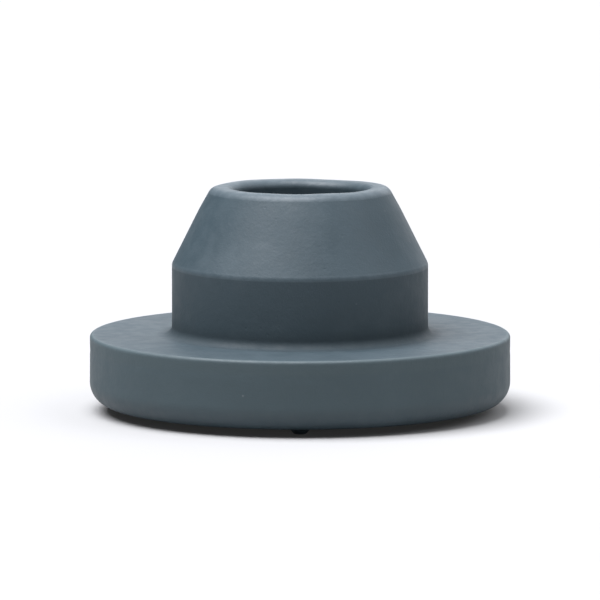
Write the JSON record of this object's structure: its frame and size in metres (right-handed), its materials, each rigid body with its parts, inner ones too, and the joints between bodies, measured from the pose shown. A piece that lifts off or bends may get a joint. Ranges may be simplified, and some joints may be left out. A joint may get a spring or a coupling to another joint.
{
  "type": "rubber stopper",
  "caption": "Moulded rubber stopper for a small crimp-top vial: round flange with a raised target ring and radial bars, and a hollow plug with a tapered tip.",
  "frame": {"origin": "on the plug's axis, in the plane of the tops of the raised ring and bars that the stopper stands on", "axes": "+Z along the plug's axis, from the marked face towards the tip; +X and +Y along two of the raised bars"},
  "size_m": [0.0125, 0.0124, 0.0068],
  "materials": {
    "rubber": "matte"
  },
  "bodies": {
    "root": {"stopper": "rubber"}
  },
  "joints": []
}
